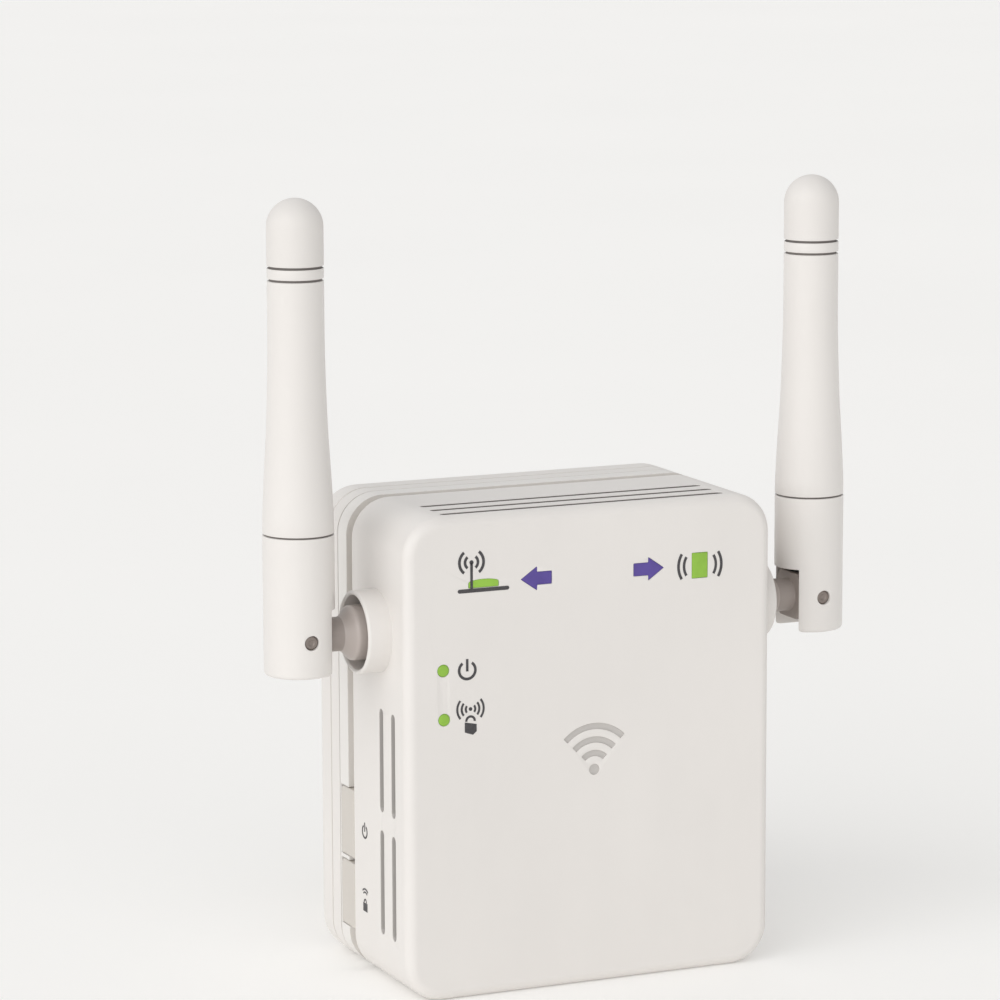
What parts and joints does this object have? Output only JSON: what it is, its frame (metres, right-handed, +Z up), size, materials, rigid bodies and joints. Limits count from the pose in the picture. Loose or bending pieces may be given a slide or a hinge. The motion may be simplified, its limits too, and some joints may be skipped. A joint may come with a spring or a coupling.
{
  "type": "wifi range extender",
  "caption": "Plug-in wireless range extender: a box-shaped vented housing on a mains plug, indicator windows in front, side buttons, and swivelling, tilting antennas at the sides.",
  "frame": {"origin": "centre of the mains plug's end face, midway between the two pins", "axes": "+Y into the wall along the pins, +Z up, +X to the right seen from the front"},
  "size_m": [0.0876, 0.07, 0.1101],
  "materials": {
    "shell_white": "finely textured satin, warm light grey",
    "frame_white": "finely textured satin, groove floor darker",
    "button_white": "satin",
    "antenna_white": "satin, faintly warm",
    "carrier_plastic": "satin",
    "swivel_grey": "satin grey",
    "pin_grey": "satin dark grey",
    "pin_metal": "bright nickel plate",
    "green_light": "translucent green window",
    "violet_light": "translucent violet-blue window",
    "led_resin": "clear resin",
    "black_plastic": "satin black",
    "switch_plastic": "satin dark grey",
    "green_board": "green solder resist",
    "tan_board": "tan laminate",
    "tinned_steel": "tinned",
    "spring_steel": "plain spring steel",
    "screw_steel": "zinc plate",
    "gold_contact": "gold flash",
    "radiator_brass": "plain brass",
    "copper_wire": "enamelled copper",
    "ferrite": "sintered, matte",
    "yellow_tape": "polyester tape",
    "capacitor_sleeve": "heat-shrunk sleeve",
    "fuse_body": "moulded",
    "insulating_film": "translucent film",
    "cable_jacket": "satin"
  },
  "bodies": {
    "housing": {"front_cover": "shell_white", "mid_frame": "frame_white", "rear_cover": "shell_white", "plug_boss": "shell_white", "pin_carrier": "carrier_plastic", "left_mains_pin": "pin_metal", "right_mains_pin": "pin_metal", "power_light": "green_light", "pairing_light": "green_light", "router_light": "green_light", "device_light": "green_light", "left_arrow_light": "violet_light", "right_arrow_light": "violet_light", "light_baffle": "black_plastic", "indicator_leds": "led_resin", "main_board": "green_board", "rf_shield": "tinned_steel", "system_chip": "black_plastic", "memory_chip": "black_plastic", "ethernet_jack": "black_plastic", "jack_contacts": "gold_contact", "power_board": "tan_board", "transformer_core": "ferrite", "transformer_coil": "yellow_tape", "bulk_capacitors": "capacitor_sleeve", "output_capacitors": "capacitor_sleeve", "mains_choke": "copper_wire", "mains_fuse": "fuse_body", "board_header": "black_plastic", "isolation_sheet": "insulating_film", "button_board": "green_board", "power_switch": "switch_plastic", "pairing_switch": "switch_plastic", "reset_switch": "switch_plastic", "case_screws": "screw_steel", "board_screws": "screw_steel", "left_coax": "cable_jacket", "right_coax": "cable_jacket", "left_swivel_washer": "spring_steel", "right_swivel_washer": "spring_steel"},
    "left_swivel_body": {"left_swivel": "swivel_grey", "left_swivel_clip": "spring_steel", "left_feed": "cable_jacket"},
    "left_antenna": {"left_antenna_base": "antenna_white", "left_antenna_blade": "antenna_white", "left_hinge_pin": "pin_grey", "left_radiator": "radiator_brass"},
    "right_swivel_body": {"right_swivel": "swivel_grey", "right_swivel_clip": "spring_steel", "right_feed": "cable_jacket"},
    "right_antenna": {"right_antenna_base": "antenna_white", "right_antenna_blade": "antenna_white", "right_hinge_pin": "pin_grey", "right_radiator": "radiator_brass"},
    "power_key": {"power_button": "button_white", "power_plunger": "black_plastic"},
    "pairing_key": {"pairing_button": "button_white", "pairing_plunger": "black_plastic"},
    "reset_key": {"reset_button": "button_white"}
  },
  "joints": [
    {"name": "left_swivel_turn", "type": "hinge", "parent": "housing", "child": "left_swivel_body", "pos_m": [-0.031, -0.0407, 0.0298], "axis": [1, 0, 0], "range_deg": [-90, 180]},
    {"name": "left_antenna_tilt", "type": "hinge", "parent": "left_swivel_body", "child": "left_antenna", "pos_m": [-0.0389, -0.0407, 0.0298], "axis": [0, -1, 0], "range_deg": [0, 90]},
    {"name": "right_swivel_turn", "type": "hinge", "parent": "housing", "child": "right_swivel_body", "pos_m": [0.031, -0.0407, 0.0298], "axis": [1, 0, 0], "range_deg": [-90, 180]},
    {"name": "right_antenna_tilt", "type": "hinge", "parent": "right_swivel_body", "child": "right_antenna", "pos_m": [0.0389, -0.0407, 0.0298], "axis": [0, 1, 0], "range_deg": [0, 90]},
    {"name": "power_button_press", "type": "slide", "parent": "housing", "child": "power_key", "axis": [1, 0, 0], "range_m": [0, 0.0015], "stiffness_N_per_m": 600, "springref_m": -0.0005},
    {"name": "pairing_button_press", "type": "slide", "parent": "housing", "child": "pairing_key", "axis": [1, 0, 0], "range_m": [0, 0.0005], "stiffness_N_per_m": 1500, "springref_m": -0.0003},
    {"name": "reset_button_press", "type": "slide", "parent": "housing", "child": "reset_key", "axis": [0, 0, 1], "range_m": [0, 0.0003], "stiffness_N_per_m": 1000, "springref_m": -0.0003}
  ]
}
